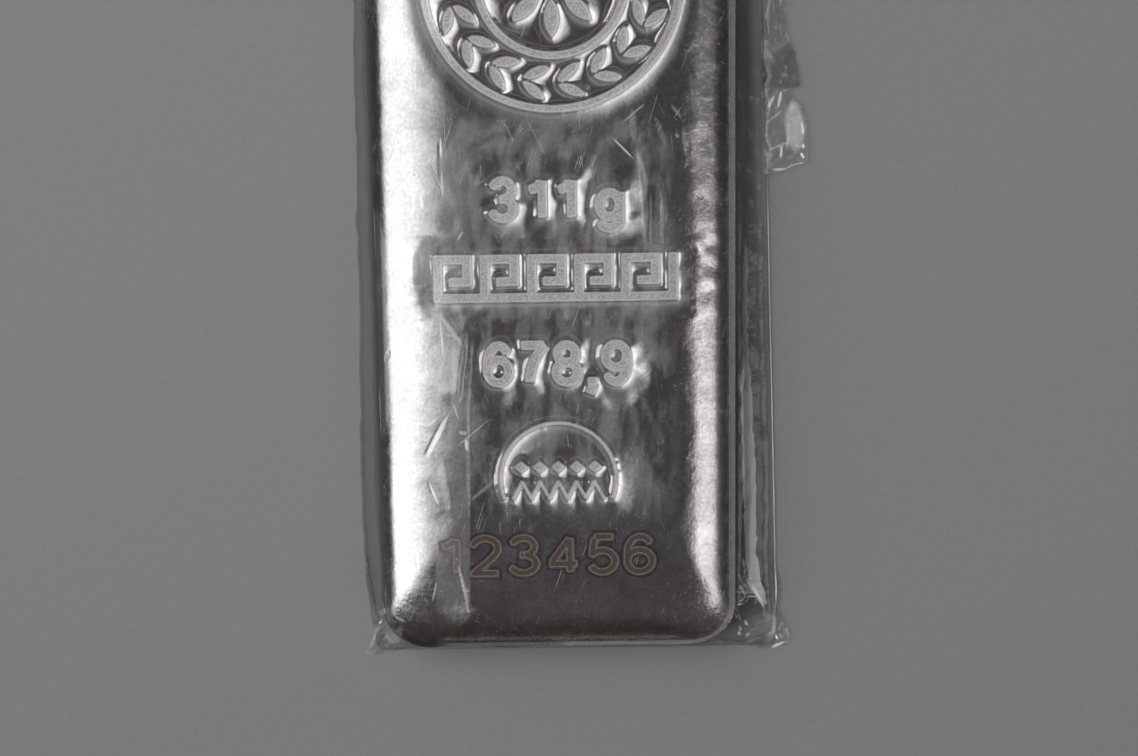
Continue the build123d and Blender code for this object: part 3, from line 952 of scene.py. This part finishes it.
# glints of the film's small folds in each area: the area's middle and half its size, and then the
# middle, length, width, turn and strength of every glint
glintSettings = (
    # above and beside the lines of numerals
    ((1.5, 6.5), (17.5, 10.5), (
        (-12.4, 10.6, 2.6, 0.22, -89, 0.6), (-12.35, 6.5, 3.6, 0.3, -89, 0.35),
        (-14.7, 4.4, 1.7, 0.25, -88, 0.4), (-10.5, 0.7, 1.5, 0.35, 58, 0.25),
        (8.9, 14.2, 3.7, 0.22, 40, 0.3), (7.7, 10.3, 3.7, 0.25, -46, 0.5),
        (13.6, 14.3, 2.1, 0.45, -54, 0.16), (14.5, 10.9, 3.9, 0.5, -85, 0.18),
        (9.8, 8.0, 4.5, 0.6, -74, 0.13), (10.7, 2.2, 7.0, 0.35, 90, 0.13),
        (12.0, 2.2, 7.0, 0.5, -89, 0.12), (8.8, 12.9, 4.4, 0.9, -88, 0.1),
        (11.9, 12.0, 4.4, 0.7, -70, 0.09), (16.5, 9.9, 0.9, 0.25, -1, 0.4),
    )),
    # along the double strip
    ((-12.5, -25.5), (5.5, 20.0), (
        (-13.6, -22.4, 6.6, 0.6, 63, 0.6), (-14.2, -20.8, 1.6, 0.3, 42, 0.3),
        (-14.2, -29.0, 3.2, 0.35, -68, 0.55), (-9.5, -21.9, 5.7, 0.16, 40, 0.3),
        (-10.3, -23.3, 1.6, 0.45, -87, 0.55), (-10.7, -21.9, 1.1, 0.5, -10, 0.3),
        (-11.7, -10.0, 5.2, 0.6, -55, 0.22), (-12.8, -11.1, 5.1, 0.25, -86, 0.3),
        (-11.0, -40.0, 5.6, 0.45, -77, 0.28), (-8.6, -28.7, 3.9, 0.55, 39, 0.16),
        (-16.2, -37.2, 2.6, 0.35, -87, 0.5), (-14.4, -40.9, 2.8, 0.3, 79, 0.3),
        (-11.4, -19.4, 2.3, 0.25, -74, 0.3), (-7.9, -15.6, 1.4, 0.2, -60, 0.25),
        (-11.2, -43.0, 3.6, 0.9, -3, 0.1), (-10.7, -40.6, 1.0, 0.35, -17, 0.3),
    )),
    # the flap
    ((26.2, 10.5), (3.2, 6.0), (
        (27.2, 11.1, 6.4, 2.6, -85, 0.17), (25.5, 14.3, 2.1, 0.45, 78, 0.35),
        (24.5, 14.1, 1.9, 0.45, 62, 0.22), (28.1, 11.0, 1.9, 0.35, -82, 0.4),
        (25.7, 8.4, 1.7, 0.35, 86, 0.35), (28.2, 9.0, 0.7, 0.32, -80, 0.45),
        (28.1, 7.9, 0.9, 0.35, -60, 0.45), (25.6, 6.4, 2.4, 0.35, -1, 0.22),
        (27.3, 6.8, 2.4, 0.35, 15, 0.22), (24.9, 12.4, 2.5, 0.35, 38, 0.12),
        (26.5, 10.8, 5.0, 0.35, 86, 0.22), (27.3, 10.5, 5.6, 0.25, 88, 0.2),
        (25.5, 9.1, 2.8, 0.35, 21, 0.12),
    )),
    # the foot of the sealed side, from its knot to its tail
    ((22.8, -45.5), (5.0, 6.5), (
        (21.8, -44.0, 3.2, 0.35, -5, 0.5), (23.1, -44.1, 3.9, 0.47, -63, 0.45),
        (21.5, -40.4, 1.4, 0.35, -79, 0.45), (21.2, -42.4, 2.0, 0.3, -66, 0.45),
        (22.2, -42.8, 2.1, 0.35, -68, 0.45), (21.4, -43.2, 2.0, 0.3, 34, 0.4),
        (21.8, -42.0, 1.5, 0.25, 15, 0.35), (22.0, -43.2, 2.4, 0.6, -1, 0.22),
        (20.7, -46.1, 2.9, 0.24, -67, 0.3), (21.1, -48.3, 0.4, 0.3, -20, 0.5),
        (21.8, -47.6, 0.6, 0.35, -47, 0.55), (21.0, -48.9, 0.5, 0.3, 35, 0.5),
        (22.0, -49.1, 0.6, 0.25, 27, 0.4), (25.6, -50.3, 1.9, 0.35, 23, 0.3),
        (25.4, -49.4, 0.6, 0.3, -65, 0.5),
    )),
    # the left foot corner
    ((-20.3, -46.5), (3.6, 5.5), (
        (-20.2, -46.0, 2.0, 0.4, -59, 0.65), (-20.5, -43.9, 1.2, 0.3, -74, 0.55),
        (-21.2, -46.9, 0.7, 0.25, 49, 0.45), (-19.7, -47.3, 0.6, 0.3, -48, 0.5),
        (-18.6, -44.7, 1.7, 0.35, -25, 0.3), (-18.9, -47.0, 3.2, 1.1, 74, 0.08),
        (-19.9, -48.9, 2.3, 1.4, -38, 0.08), (-22.4, -49.0, 5.0, 1.0, 60, 0.06),
    )),
)
# and the shadows beside its folds: middle, length, width, turn and strength
shadowSettings = (
    (-14.25, -22.6, 5.1, 0.24, 63, 0.75), (-14.7, -28.4, 2.2, 0.25, -76, 0.6),
    (-12.75, 9.2, 4.8, 0.35, 90, 0.6), (-15.5, -3.4, 5.5, 1.1, 88, 0.35),
    (-12.2, 2.6, 3.6, 2.6, 70, 0.3),
)


def bandDepth(x, y, edges):
    # how far inside a band a point lies, below 0 outside it
    ys, lefts, rights = zip(*edges)
    beside = np.minimum(x - np.interp(y, ys, lefts), np.interp(y, ys, rights) - x)
    return np.minimum(beside, np.minimum(y - ys[0], ys[-1] - y))


def outlineDistance(x, y):
    # distance outside the bar's outline
    radius = barSettings["cornerRadius"]
    besideX = np.abs(x) - (halfWidth - radius)
    besideY = np.abs(y) - (halfLength - radius)
    outside = np.hypot(np.maximum(besideX, 0), np.maximum(besideY, 0))
    return outside + np.minimum(np.maximum(besideX, besideY), 0) - radius


def crumples(x, y, size, seed):
    # facets between sharp creases, between about -1 and 1
    count = 5
    rng = np.random.default_rng(seed)
    total = np.zeros(x.shape)
    bentX = x + 0.3 * size * waves(x, y, 3 * size, seed + 1)
    bentY = y + 0.3 * size * waves(x, y, 3 * size, seed + 2)
    for number in range(count):
        turn = rng.uniform(0, math.pi)
        pace = rng.uniform(0.6, 1.5) / size
        phase = rng.uniform(0, 1)
        wave = (bentX * math.cos(turn) + bentY * math.sin(turn)) * pace + phase
        total += 4 * np.abs(wave % 1 - 0.5) - 1
    return total / math.sqrt(count)


def foldHeight(x, y, fold):
    # a ridge along a line, which falls to nothing at both ends and at its two widths
    points = fold["ridge"]
    lengths = [math.dist(a, b) for a, b in zip(points, points[1:])]
    total = sum(lengths)
    best = np.full(x.shape, 1e3)
    rise = np.zeros(x.shape)
    passed = 0.0
    for (startX, startY), (endX, endY), length in zip(points, points[1:], lengths):
        alongX, alongY = (endX - startX) / length, (endY - startY) / length
        along = (x - startX) * alongX + (y - startY) * alongY
        held = np.clip(along, 0, length)
        away = np.hypot(x - startX - held * alongX, y - startY - held * alongY)
        across = (x - startX) * alongY - (y - startY) * alongX
        isWest = across * (1 if alongY > 0 else -1) < 0
        wide = np.where(isWest, fold["west"], fold["east"])
        share = (passed + held) / total
        taper = np.clip(5 * np.minimum(share, 1 - share) + 0.15, 0, 1)
        tent = fold["height"] * taper * np.clip(1 - away / (wide * (0.3 + 0.7 * taper)), 0, 1)
        rise = np.where(away < best, tent, rise)
        best = np.minimum(best, away)
        passed += length
    return rise


def resample(points, count):
    # points evenly spaced along a line
    points = np.array(points)
    reached = np.concatenate([[0], np.cumsum(np.hypot(*np.diff(points, axis=0).T))])
    wanted = np.linspace(0, reached[-1], count)
    return np.interp(wanted, reached, points[:, 0]), np.interp(wanted, reached, points[:, 1])


def makePatch(name, seed):
    s = patchSettings[name]
    across, along = s["steps"]
    bpy.ops.object.select_all(action="DESELECT")
    bpy.ops.mesh.primitive_grid_add(x_subdivisions=across - 1, y_subdivisions=along - 1, size=1)
    patch = bpy.context.object
    patch.name = name
    rimX, rimY = resample(s["rim"], along)
    tornX, tornY = resample(s["torn"], along)
    share = np.linspace(0, 1, across)[None, :]
    x = rimX[:, None] * (1 - share) + tornX[:, None] * share
    y = rimY[:, None] * (1 - share) + tornY[:, None] * share
    ragged = 0.12 * crumples(x, y, 0.9, seed + 7) * share**3
    x, y = x + ragged, y + 0.5 * ragged
    lift = np.sin(math.pi * np.minimum(share * 1.2 + 0.1, 1)) * 0.5 + 0.5
    z = s["height"] * lift + s["crumple"] * share**0.5 * 0.5 * (1 + crumples(x, y, s["size"], seed))
    setPlaces(patch, x, y, np.maximum(z, 0.15))
    haze = 0.12 + 0.06 * crumples(x, y, 2.0, seed + 3) * share
    stainLow, stainHigh = s["stain"]
    setAttribute(patch, "haze", haze * (1 - 0.75 * np.clip(y - stainHigh + 0.5, 0, 1)))
    stainTop = stainHigh - 1.6 * (1 - share)
    stained = np.clip((y - stainLow) / 0.3, 0, 1) * np.clip((stainTop - y) / 0.8, 0, 1)
    setAttribute(patch, "stain", stained * (0.35 + 0.65 * share**3))
    setAttribute(patch, "rim", 0 * x + farAway)
    for band in bandSettings:
        setAttribute(patch, band, 0 * x - farAway)
    bpy.ops.object.modifier_add(type="SOLIDIFY")
    patch.modifiers[-1].thickness = sleeveSettings["patchThickness"] * mm
    bpy.ops.object.modifier_apply(modifier=patch.modifiers[-1].name)
    bpy.ops.object.shade_smooth()
    return patch


def makeSleeve():
    s = sleeveSettings
    sides = ("left", "right", "low", "high")
    overlap = 0.2  # the film meets the bar's face this far in from its side
    touches = [(-overlap, height + s["gap"]) for height in crownHeights(overlap)]
    profiles = [list(s[side]) + [touch] for side, touch in zip(sides, touches)]
    rings = []
    for share in s["underShares"]:
        outsets = [s["underOutset"] * (1 - share) + profile[0][0] * share for profile in profiles]
        rings.append({
            "inset": tuple(s["reach"] - outset for outset in outsets),
            "radius": s["underRadius"] * (1 - share) + s["radii"][0] * share,
            "z": (0.05 * share**2,) * 4,
        })
    for number, steps in enumerate(s["spanSteps"]):
        for step in range(steps):
            share = step / steps
            spans = [(profile[number], profile[number + 1]) for profile in profiles]
            rings.append({
                "inset": tuple(s["reach"] - a[0] * (1 - share) - b[0] * share for a, b in spans),
                "radius": s["radii"][number] * (1 - share) + s["radii"][number + 1] * share,
                "z": tuple(a[1] * (1 - share) + b[1] * share for a, b in spans),
            })
    rimRings = len(rings)
    bar = barSettings
    inset = overlap
    while inset < bar["edgeReach"]:
        lift = s["gap"] + (s["topGap"] - s["gap"]) * inset / bar["edgeReach"]
        spread = bar["topCornerRadius"] - bar["cornerRadius"]
        rings.append({
            "inset": (s["reach"] + inset,) * 4,
            "radius": bar["cornerRadius"] + 0.1 + spread * inset / bar["edgeReach"],
            "z": tuple(height + lift for height in crownHeights(inset)),
        })
        inset += s["cell"]
    sleeve, x, y, z, ring = ringedGrid(
        "clear_sleeve_dressed", rings, s["blendInset"], s["cell"], s["cellLong"],
        halfWidth + s["reach"], halfLength + s["reach"],
    )
    print("sleeve grid:", x.shape)

    # the sealed sides aren't square to the bar, and the rim wanders a little
    outset = np.maximum(np.abs(x) - halfWidth, 0)
    rimShare = np.clip((outset - 0.6) / 1.6, 0, 1)
    slope = np.where(x < 0, s["leftSlope"], s["rightSlope"])
    x = x + slope * y * rimShare
    taper = np.clip((s["taperFrom"] - y) / s["taperLength"], 0, 1) ** 1.5
    x = x + s["leftTaper"] * taper * rimShare * (x < 0)
    (longHeight, longLength), (shortHeight, shortLength) = s["wander"]
    wander = longHeight * waves(0 * x, y, longLength, s["seed"])
    wander = wander + shortHeight * waves(x, y, shortLength, s["seed"] + 1)
    side = np.clip(outset / 0.4, 0, 1) * np.sign(x)
    x = x + side * wander * np.where(outset > 3.6, 0.3, 1.0)

    # the film over the bar waves, folds and crumples
    (swell, swellLength), (crease, creaseLength) = s["swell"], s["creases"]
    height = swell * waves(x, y, swellLength, s["seed"] + 2)
    height = (height + crease * crumples(x, y, creaseLength, s["seed"] + 3)) * (ring >= rimRings)
    for fold in foldSettings:
        height = np.maximum(height, height * 0.3 + foldHeight(x, y, fold))
    haze = np.zeros(x.shape)
    for number, spot in enumerate(crumpleSettings):
        away = np.hypot(x - spot["middle"][0], y - spot["middle"][1]) / spot["radius"]
        mask = np.clip(1.6 * (1 - away), 0, 1)
        height = height + mask * spot["height"] * 0.5 * (1 + crumples(x, y, spot["size"], 30 + number))
        haze = np.maximum(haze, mask * spot.get("haze", 0.0))
    z = z + np.where(ring > len(s["underShares"]), height, 0)
    z = np.minimum(z, sleeveTop + s["topMargin"])
    setPlaces(sleeve, x, y, np.maximum(z, 0))
    setAttribute(sleeve, "haze", haze)
    setAttribute(sleeve, "stain", 0 * x)
    setAttribute(sleeve, "rim", outlineDistance(x, y))
    for name, edges in bandSettings.items():
        setAttribute(sleeve, name, bandDepth(x, y, edges))
    closeUnderside(sleeve)

    patches = [makePatch(name, 50 + number) for number, name in enumerate(patchSettings)]
    bpy.ops.object.select_all(action="DESELECT")
    for patch in patches:
        patch.select_set(True)
    sleeve.select_set(True)
    bpy.context.view_layer.objects.active = sleeve
    bpy.ops.object.join()
    return sleeve


filmSettings = {
    "clear": grey(0.985),
    "shadow": grey(0.03),
    # the milky colour of the film's haze and of its painted sheen and highlights
    "veil": (0.8, 0.8, 0.82, 1),
    "stain": (0.13, 0.12, 0.095, 1),
    "glint": (0.8, 0.8, 0.82, 1),
    "gloss": 0.1,
    "relief": 0.13,
    # how much the film mirrors where it faces the eye, and how much more where it is seen flat
    "mirror": (0.15, 0.85),
}


def filmMaterial():
    s = filmSettings
    shader = Shader(bpy.data.materials.new("clearFilm"))
    place = shader.objectPlace()
    haze = shader.attribute("haze")
    stain = shader.attribute("stain")
    ripple = shader.noise(place, 0.35, 3.0, 0.58)
    specks = shader.noise(place, 1.7, 2.0, 0.7).ramp(0.62, 0.7)

    rim, strip, facet, crease, sheenBand, glaze = (
        shader.attribute(name) for name in ("rim", "strip", "facet", "crease", "veil", "glaze")
    )
    streaks = shader.noise(shader.objectPlace((0.4, 9.0, 9.0)), 1.0, 3.0, 0.6)
    wobble = shader.noise(shader.objectPlace((1.5, 0.6, 1.0)), 1.0, 2.0, 0.5) * 0.8 - 0.36
    x, y = (shader.add("ShaderNodeSeparateXYZ", None, {0: place}, output=axis) for axis in "XY")
    isRight = x.ramp(-1.0, 1.0)
    seal = x - y * sleeveSettings["rightSlope"]  # runs level with the sealed right side

    # painted highlights: the rim along the bar, the facet, the double strip, creases and the sealed edge
    rimLine = rim.ramp(-0.8, -0.72) * rim.ramp(-0.06, 0.02, 1.0, 0.0)
    rimLine = rimLine * isRight.larger(y.ramp(-44.0, -46.5) * 0.6) * x.ramp(-15.0, -12.0)
    facetMask = (facet + wobble).ramp(-0.03, 0.04)
    stripMask = strip.ramp(-0.05, 0.08) * y.ramp(-43.6, -40.5, 0.35, 1.0) * y.ramp(-12.0, -9.5, 1.0, 0.3)
    sealLine = seal.band(24.3, 0.05, 0.08) * streaks.ramp(0.3, 0.5) * y.ramp(-46.0, -44.0)
    sealLine = sealLine * y.ramp(-2.0, 6.0, 1.0, 0.1)
    light = rimLine * streaks.ramp(0.3, 0.7, 0.2, 0.3) + facetMask * y.ramp(-4.0, -36.0, 0.22, 0.52)
    light = light + stripMask * 0.11 + crease.ramp(-0.05, 0.05) * 0.4 + sealLine * 0.6
    light = light + sheenBand.ramp(-0.1, 0.3) * 0.05
    light = light + glaze.ramp(-0.6, 0.8) * streaks.ramp(0.3, 0.7, 0.5, 1.1) * 0.2
    # painted sheen and mist where the film lies slack, above and left of the numerals, and mist where the
    # bar rubs it
    swirl = shader.noise(shader.objectPlace((0.22, 0.1, 1.0), (0, 0, -14)), 1.0, 3.0, 0.6, 1.2)
    leftSlack = x.ramp(-17.0, -12.0) * x.ramp(-10.5, -8.0, 1.0, 0.1)
    leftSlack = leftSlack * y.ramp(-10.0, -6.0) * y.ramp(5.0, 14.0, 1.0, 0.2)
    highSlack = x.ramp(-14.0, -9.0) * x.ramp(14.0, 9.0)
    highSlack = highSlack * y.ramp(9.0, 11.5) * y.ramp(12.5, 14.5, 1.0, 0.0)
    slack = (leftSlack + highSlack * 0.7).smaller(1.0)
    light = light + slack * swirl.ramp(0.4, 0.56, 0.15, 1.0) * 0.17
    middle = x.band(1.0, 10.5, 3.0) * y.ramp(-34.0, -28.0) * y.ramp(13.0, 9.0)
    rubbed = shader.noise(shader.objectPlace((0.5, 0.17, 1.0)), 1.0, 3.0, 0.62)
    light = light + middle * rubbed.ramp(0.4, 0.66) * 0.15

    # painted shade over the doubled film beside the bar and over the bar's left shoulder
    fin = rim.ramp(0.0, 0.1)
    blotch = shader.noise(shader.objectPlace((0.3, 0.09, 1.0)), 1.0, 2.0, 0.5).ramp(0.35, 0.62)
    rightDark = seal.ramp(22.3, 23.3, 0.25, y.ramp(-6.0, 4.0, 0.13, 0.06))
    rightDark = rightDark * (1 - blotch * 0.4) * isRight
    leftDark = rim.ramp(0.2, 0.5, 0.6, 0.18) * (1 - isRight)
    paintedShade = (rightDark + leftDark) * fin * (1 - facetMask) * streaks.ramp(0.25, 0.75, 0.75, 1.2)
    shoulder = rim.ramp(-1.0, -0.6) * (1 - isRight)
    paintedShade = (paintedShade + shoulder * (1 - fin) * 0.55) * y.ramp(-49.0, -46.0, 0.4, 1.0)
    paintedShade = paintedShade.larger(shader.strokes(place, shadowSettings))

    normal = shader.bump(ripple, s["relief"])
    values = {"Blend": 0.5, "Normal": normal}
    facing = shader.add("ShaderNodeLayerWeight", None, values, output="Facing")
    facingEye, seenFlat = s["mirror"]
    mirror = facing**5.0 * seenFlat + facingEye
    mirror = mirror * (1 - fin.larger(shoulder) * (0.85 - isRight * 0.2))
    values = {"Color": grey(1.0), "Roughness": s["gloss"], "Normal": normal}
    gloss = shader.add("ShaderNodeBsdfGlossy", None, values)
    clear = shader.add("ShaderNodeBsdfTransparent", None, {"Color": s["clear"]})
    # the milky diffuse carries the film's haze and stain, and its painted sheen and highlights
    milky = shader.mixColor((stain * 3).smaller(1.0), s["veil"], s["stain"])
    veil = shader.add("ShaderNodeBsdfDiffuse", None, {"Color": milky})
    crumpled = shader.noise(shader.objectPlace((0.8, 2.2, 1.0), (0, 0, 35)), 1.0, 2.0, 0.6)
    hazeStainAndSheen = haze * crumpled.ramp(0.42, 0.68, 0.2, 0.75)
    hazeStainAndSheen = hazeStainAndSheen + stain * (specks * 0.5 + 0.14) + light
    shadow = shader.add("ShaderNodeBsdfDiffuse", None, {"Color": s["shadow"]})
    # painted shade mixes the clear film towards the dark diffuse, and haze, stain and painted sheen mix
    # it towards the milky one
    body = shader.add("ShaderNodeMixShader", None, {0: paintedShade, 1: clear, 2: shadow})
    body = shader.add("ShaderNodeMixShader", None, {0: hazeStainAndSheen, 1: body, 2: veil})
    # the glints add their light: each area has its own shader, so it costs nothing elsewhere
    for (middleX, middleY), (halfX, halfY), glints in glintSettings:
        bright = shader.add("ShaderNodeBsdfDiffuse", None, {"Color": s["glint"]})
        inside = x.band(middleX, halfX, 0.01) * y.band(middleY, halfY, 0.01)
        strength = shader.strokes(place, glints)
        glint = shader.add("ShaderNodeMixShader", None, {0: strength, 2: bright})
        glint = shader.add("ShaderNodeMixShader", None, {0: inside, 2: glint})
        body = shader.add("ShaderNodeAddShader", None, {0: body, 1: glint})
    return shader.finish(shader.add("ShaderNodeMixShader", None, {0: mirror, 1: body, 2: gloss}))


clearSleeve = makeSleeve()
clearSleeve.data.materials.append(filmMaterial())
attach(clearSleeve, "root")
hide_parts("clear_sleeve")
print("sleeve done:", len(clearSleeve.data.polygons), "faces")


# Floor, lamp, world and camera

stageSettings = {
    "floorSize": 8000.0,
    "floorGrey": 0.24,
    # a big soft box on the left and a slim one on the right: degrees off the vertical and how bright
    "leftGlow": ((0, 0.0), (6, 0.03), (12, 0.14), (20, 0.4), (28, 0.68), (38, 0.92), (50, 1.0),
                 (62, 0.96), (72, 0.8), (80, 0.5), (86, 0.1), (90, 0.02)),
    "leftPeak": 1.55,
    "rightGlow": ((0, 1.0), (46, 1.0), (55, 0.85), (60, 0.16), (68, 0.04), (90, 0.0)),
    "rightPeak": 1.12,
    # the dim room between and beyond them
    "zenith": (0.062, 0.057, 0.064),
    "towardsFoot": (0.071, 0.062, 0.061),
    "pastFoot": (0.035, 0.028, 0.025),
    "towardsRoundel": (0.2, 0.2, 0.205),
    "towardsSides": 0.03,
    "seenByCamera": 0.3,
    # how many degrees the boxes lean away towards the foot, and the left one besides
    "footLean": 26.0,
    "leftFootLean": 10.0,
    "fill": {"place": (-150.0, 150.0, 430.0), "size": 480.0, "radiance": 0.5},
}
cameraSettings = {
    "place": (2.435, 61.477, 324.329),
    "turn": (-13.7332, 0.0, -0.778),
    "lens": 60.0,
    "sensor": 23.6,
}


def makeFloor():
    size = stageSettings["floorSize"] * mm
    bpy.ops.object.select_all(action="DESELECT")
    bpy.ops.mesh.primitive_plane_add(size=size, location=(0, 0, -0.02 * mm))
    floor = bpy.context.object
    floor.name = "floor"
    shader = Shader(bpy.data.materials.new("paleFloor"))
    place = shader.objectPlace()
    fibre = shader.noise(place, 1.5, 3.0, 0.7)
    value = stageSettings["floorGrey"]
    tone = shader.mixColor(
        fibre.ramp(0.3, 0.7), (value * 0.97, value * 0.97, value, 1),
        (value * 1.03, value * 1.03, value * 1.06, 1),
    )
    values = {"Base Color": tone, "Roughness": 0.9, "Specular IOR Level": 0.2}
    floor.data.materials.append(shader.finish(shader.add("ShaderNodeBsdfPrincipled", None, values)))


def makeFill():
    # an overhead lamp that brings the floor up to its colour and stays out of the reflections
    s = stageSettings["fill"]
    bpy.ops.object.light_add(type="AREA", location=[part * mm for part in s["place"]])
    lamp = bpy.context.object
    lamp.name = "overheadFill"
    lamp.data.size = s["size"] * mm
    lamp.data.energy = s["radiance"] * math.pi * (s["size"] * mm) ** 2 * 4
    lamp.visible_camera = False
    lamp.visible_glossy = False


def makeWorld():
    world = bpy.context.scene.world or bpy.data.worlds.new("studio")
    bpy.context.scene.world = world
    shader = Shader(world)
    direction = shader.add("ShaderNodeTexCoord", output="Generated")
    x, y, z = (
        shader.add("ShaderNodeSeparateXYZ", None, {0: direction}, output=axis) for axis in "XYZ"
    )
    s = stageSettings
    lean = x.maths("ARCTAN2", x, z) * (180 / math.pi)  # degrees off the vertical, above 0 to the right

    def glow(angle, stops, peak):
        shades = [(degrees / 90, grey(value)) for degrees, value in stops]
        spread = shader.add("ShaderNodeValToRGB", {"stops": shades}, {0: angle / 90})
        return spread * peak

    # both boxes lean away towards the foot and end past it
    away = y.ramp(-0.3, -0.65, 0.0, s["footLean"])
    leftAway = y.ramp(-0.2, -0.34, 0.0, s["leftFootLean"])
    left = glow(lean * -1.0 - away - leftAway, s["leftGlow"], s["leftPeak"])
    left = left * (lean * -1.0).ramp(78.0, 88.0, 1.0, 0.0)
    left = left * y.ramp(-0.57, -0.4) * y.ramp(-0.17, -0.07, 1.0, 0.78)
    right = glow(lean, s["rightGlow"], s["rightPeak"]) * (lean - away * 0.5).ramp(30.5, 36.0)
    right = right * y.ramp(-0.26, -0.15, 1.0, 0.1) * y.ramp(-0.61, -0.56)
    tone = shader.mixColor(y.ramp(-0.25, -0.6), (*s["zenith"], 1), (*s["towardsFoot"], 1))
    tone = shader.mixColor(y.ramp(-0.7, -0.95), tone, (*s["pastFoot"], 1))
    tone = shader.mixColor(y.ramp(-0.05, 0.6), tone, (*s["towardsRoundel"], 1))
    atSides = abs(lean).ramp(20.0, 60.0) * y.ramp(-0.7, -0.4, 0.4, 1.0)
    tone = shader.mixColor(atSides, tone, grey(s["towardsSides"]))
    values = {0: left + right, 1: left * 0.985 + right * 0.95, 2: left + right * 0.985}
    glows = shader.add("ShaderNodeCombineColor", None, values)
    tone = shader.mixColor(1.0, tone, glows, "ADD")
    isCamera = shader.add("ShaderNodeLightPath", output="Is Camera Ray")
    tone = shader.mixColor(isCamera, tone, grey(s["seenByCamera"]))
    shader.finish(shader.add("ShaderNodeBackground", None, {"Color": tone, "Strength": 1.0}))


def makeCamera():
    s = cameraSettings
    bpy.ops.object.camera_add(
        location=[part * mm for part in s["place"]],
        rotation=[math.radians(part) for part in s["turn"]],
    )
    camera = bpy.context.object
    camera.data.sensor_fit = "HORIZONTAL"
    camera.data.sensor_width = s["sensor"]
    camera.data.lens = s["lens"]
    camera.data.clip_start = 0.01
    bpy.context.scene.camera = camera


makeFloor()
makeFill()
makeWorld()
makeCamera()
bpy.context.scene.view_settings.view_transform = "Standard"
print("stage done")
